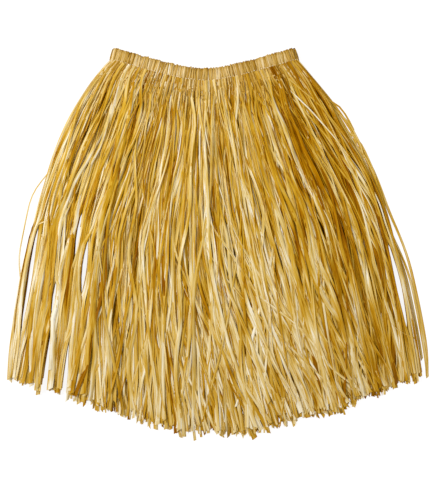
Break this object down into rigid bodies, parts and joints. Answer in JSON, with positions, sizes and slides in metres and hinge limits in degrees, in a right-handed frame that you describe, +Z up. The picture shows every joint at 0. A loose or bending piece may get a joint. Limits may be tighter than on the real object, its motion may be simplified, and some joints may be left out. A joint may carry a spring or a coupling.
{
  "type": "grass skirt",
  "caption": "Knee-length raffia grass skirt laid flat: a gathered waistband whose ends curve up, and full front and back curtains of loose natural strands fanning to a ragged hem.",
  "frame": {"origin": "centre of the skirt's bounding box in X and Y, on the surface that it lies on", "axes": "+X across the skirt, towards the right as seen from above with the waist away from you; +Y from the hem to the waist; +Z up off the surface, out of the front of the skirt"},
  "size_m": [0.6838, 0.6444, 0.0125],
  "materials": {
    "raffia": "dry natural raffia, pale straw to golden brown, softly glossy along the strands",
    "raffia_band": "gathered raffia, paler and duller, in tight upright pleats with a row of pale thread"
  },
  "bodies": {
    "root": {"waistband_back": "raffia_band", "waistband_front": "raffia_band", "waistband_fold_left": "raffia_band", "waistband_fold_right": "raffia_band", "fringe_back_01": "raffia", "fringe_back_02": "raffia", "fringe_back_03": "raffia", "fringe_back_04": "raffia", "fringe_back_05": "raffia", "fringe_back_06": "raffia", "fringe_back_07": "raffia", "fringe_back_08": "raffia", "fringe_back_09": "raffia", "fringe_back_10": "raffia", "fringe_back_11": "raffia", "fringe_back_12": "raffia", "fringe_back_13": "raffia", "fringe_back_14": "raffia", "fringe_front_01": "raffia", "fringe_front_02": "raffia", "fringe_front_03": "raffia", "fringe_front_04": "raffia", "fringe_front_05": "raffia", "fringe_front_06": "raffia", "fringe_front_07": "raffia", "fringe_front_08": "raffia", "fringe_front_09": "raffia", "fringe_front_10": "raffia", "fringe_front_11": "raffia", "fringe_front_12": "raffia", "fringe_front_13": "raffia", "fringe_front_14": "raffia", "fringe_front_15": "raffia", "fringe_front_16": "raffia", "fringe_front_17": "raffia", "fringe_front_18": "raffia", "fringe_front_19": "raffia", "fringe_front_20": "raffia", "stray_strand_left": "raffia", "stray_strand_right_upper": "raffia", "stray_strand_right_middle": "raffia", "stray_strand_right_lower": "raffia"}
  },
  "joints": []
}
